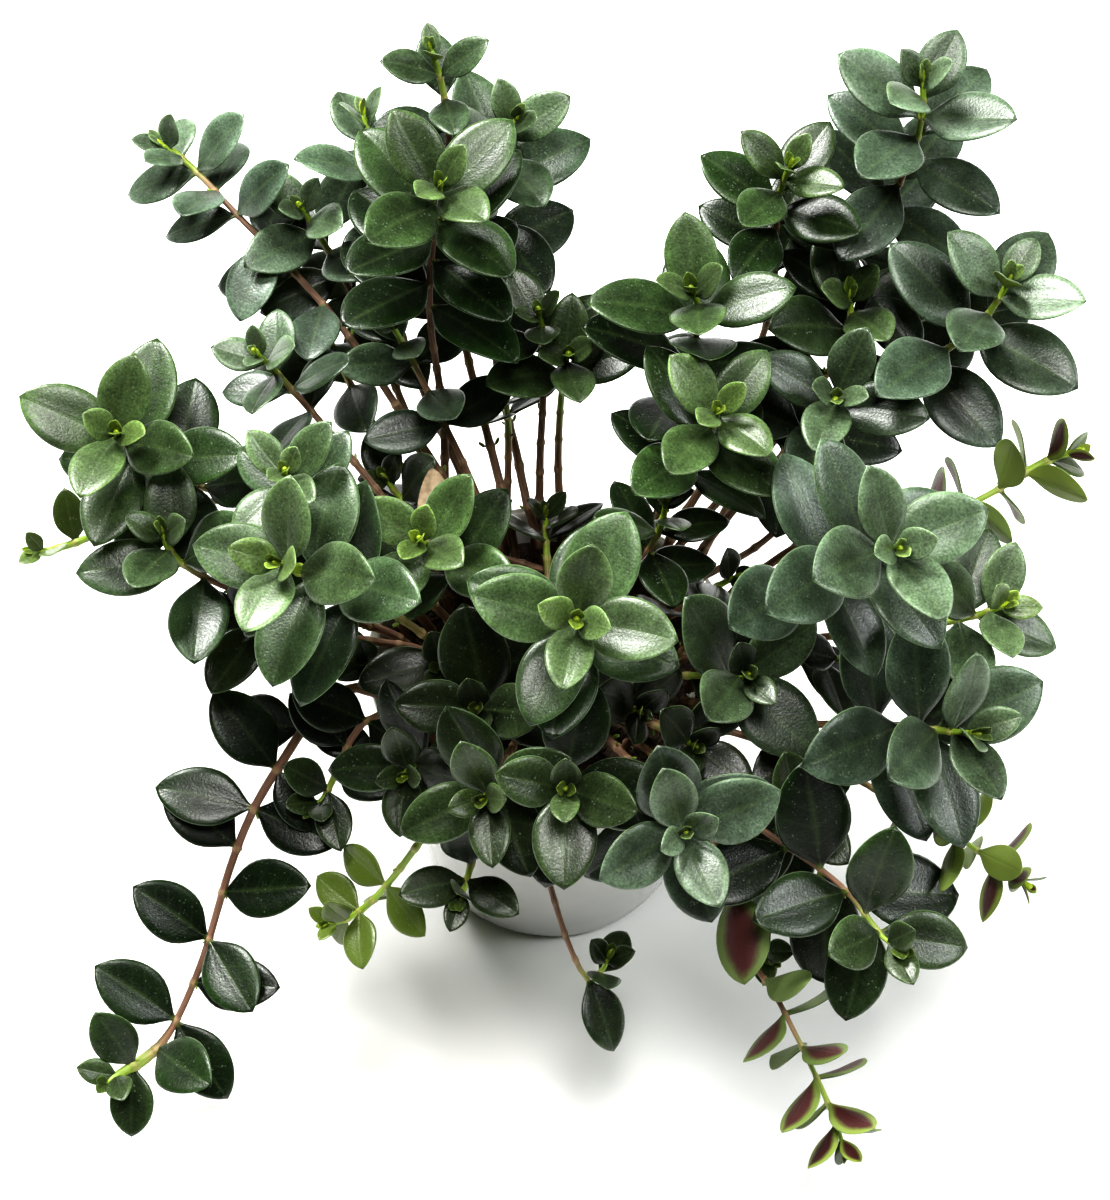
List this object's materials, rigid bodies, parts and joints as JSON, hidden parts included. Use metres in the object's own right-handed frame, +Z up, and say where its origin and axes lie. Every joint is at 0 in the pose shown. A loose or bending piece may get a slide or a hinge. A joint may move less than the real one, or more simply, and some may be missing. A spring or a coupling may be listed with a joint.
{
  "type": "potted goldfish plant",
  "caption": "Bushy goldfish plant with trailing stems of opposite fleshy oval leaves, standing in soil in a round tapered white pot.",
  "frame": {"origin": "centre of the pot's base, on the surface that it stands on", "axes": "+Z up along the pot's axis, -Y towards the front, from where the plant is seen, +X to the right"},
  "size_m": [0.3314, 0.2991, 0.2712],
  "materials": {
    "white_glaze": "gloss",
    "potting_soil": "matte",
    "green_leaf": "satin",
    "green_stem": "matte",
    "dry_bark": "matte"
  },
  "bodies": {
    "root": {"pot": "white_glaze", "soil": "potting_soil", "back_dark_stem": "green_leaf", "back_left_inner_stem": "green_leaf", "back_left_long_stem": "green_leaf", "back_left_lower_stem": "green_leaf", "back_left_rosette_stem": "green_leaf", "back_left_side_stem": "green_leaf", "back_left_small_stem": "green_leaf", "back_left_upright_stem": "green_leaf", "back_middle_low_stem": "green_leaf", "back_middle_stem": "green_leaf", "back_right_inner_stem": "green_leaf", "back_right_low_stem": "green_leaf", "back_right_outer_stem": "green_leaf", "back_right_tall_stem": "green_leaf", "back_right_under_stem": "green_leaf", "back_shoulder_stem": "green_leaf", "back_tall_stem": "green_leaf", "centre_back_stem": "green_leaf", "centre_rosette_stem": "green_leaf", "centre_upright_stem": "green_leaf", "dry_twig_back": "dry_bark", "dry_twig_right": "dry_bark", "front_dark_stem": "green_leaf", "front_deep_stem": "green_leaf", "front_hanging_stem": "green_leaf", "front_left_curled_stem": "green_leaf", "front_left_dark_stem": "green_leaf", "front_left_inner_stem": "green_leaf", "front_left_pale_stem": "green_leaf", "front_left_side_stem": "green_leaf", "front_left_small_stem": "green_leaf", "front_left_trailing_stem": "green_leaf", "front_left_under_stem": "green_leaf", "front_middle_stem": "green_leaf", "front_right_inner_stem": "green_leaf", "front_right_low_stem": "green_leaf", "front_right_outer_stem": "green_leaf", "front_right_stem": "green_leaf", "front_right_trailing_stem": "green_leaf", "front_rosette_stem": "green_leaf", "front_shade_stem": "green_leaf", "left_bottom_stem": "green_leaf", "left_bright_stem": "green_leaf", "left_high_stem": "green_leaf", "left_inner_stem": "green_leaf", "left_low_stem": "green_leaf", "left_rosette_stem": "green_leaf", "left_trailing_stem": "green_leaf", "left_upper_stem": "green_leaf", "right_inner_stem": "green_leaf", "right_middle_stem": "green_leaf", "right_pair_lower_stem": "green_leaf", "right_pair_upper_stem": "green_leaf", "right_rosette_stem": "green_leaf", "right_side_stem": "green_leaf", "right_spread_stem": "green_leaf", "right_trailing_stem": "green_leaf", "right_under_stem": "green_leaf"}
  },
  "joints": []
}
